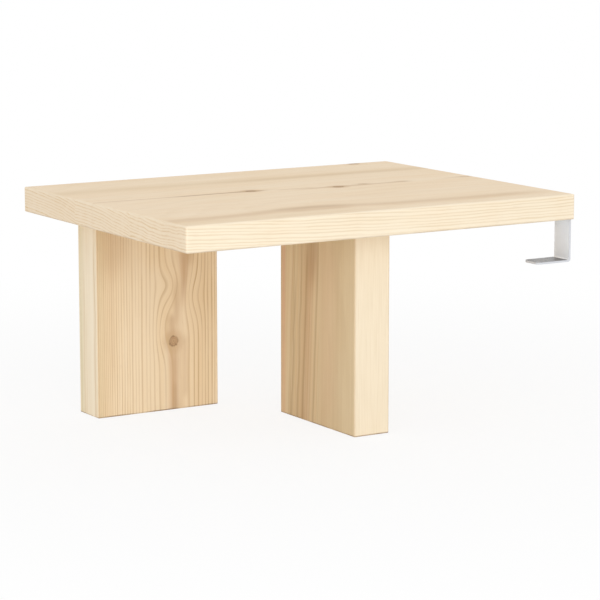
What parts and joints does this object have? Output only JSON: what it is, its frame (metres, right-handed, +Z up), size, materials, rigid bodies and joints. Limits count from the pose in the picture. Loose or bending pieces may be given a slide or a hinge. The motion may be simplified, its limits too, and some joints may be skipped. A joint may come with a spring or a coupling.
{
  "type": "nightstand",
  "caption": "Low solid pine bedside table: a thick rectangular top on plank legs set at right angles, with a bent steel hook under one end that grips the bed's side rail.",
  "frame": {"origin": "on the floor, under the middle of the top", "axes": "+X along the top, from its free end to the end that hooks onto the bed; +Y from the front edge to the back edge; +Z up"},
  "size_m": [0.5, 0.385, 0.26],
  "materials": {
    "pine_top": "planed and sanded pale pine with a matt clear oil",
    "pine_leg": "planed and sanded pine with strong upright grain, matt clear oil",
    "beech_dowel": "turned beech, bare",
    "bright_steel": "bright zinc plated",
    "zinc_casting": "satin zinc die casting",
    "grey_steel": "light grey satin coat"
  },
  "bodies": {
    "root": {"top_back_stave": "pine_top", "top_middle_stave": "pine_top", "top_front_stave": "pine_top", "left_leg": "pine_leg", "right_leg_back_stave": "pine_leg", "right_leg_front_stave": "pine_leg", "leg_dowels": "beech_dowel", "cam_bolts": "bright_steel", "cam_nuts": "zinc_casting", "rail_hook": "grey_steel", "hook_screws": "bright_steel"}
  },
  "joints": []
}
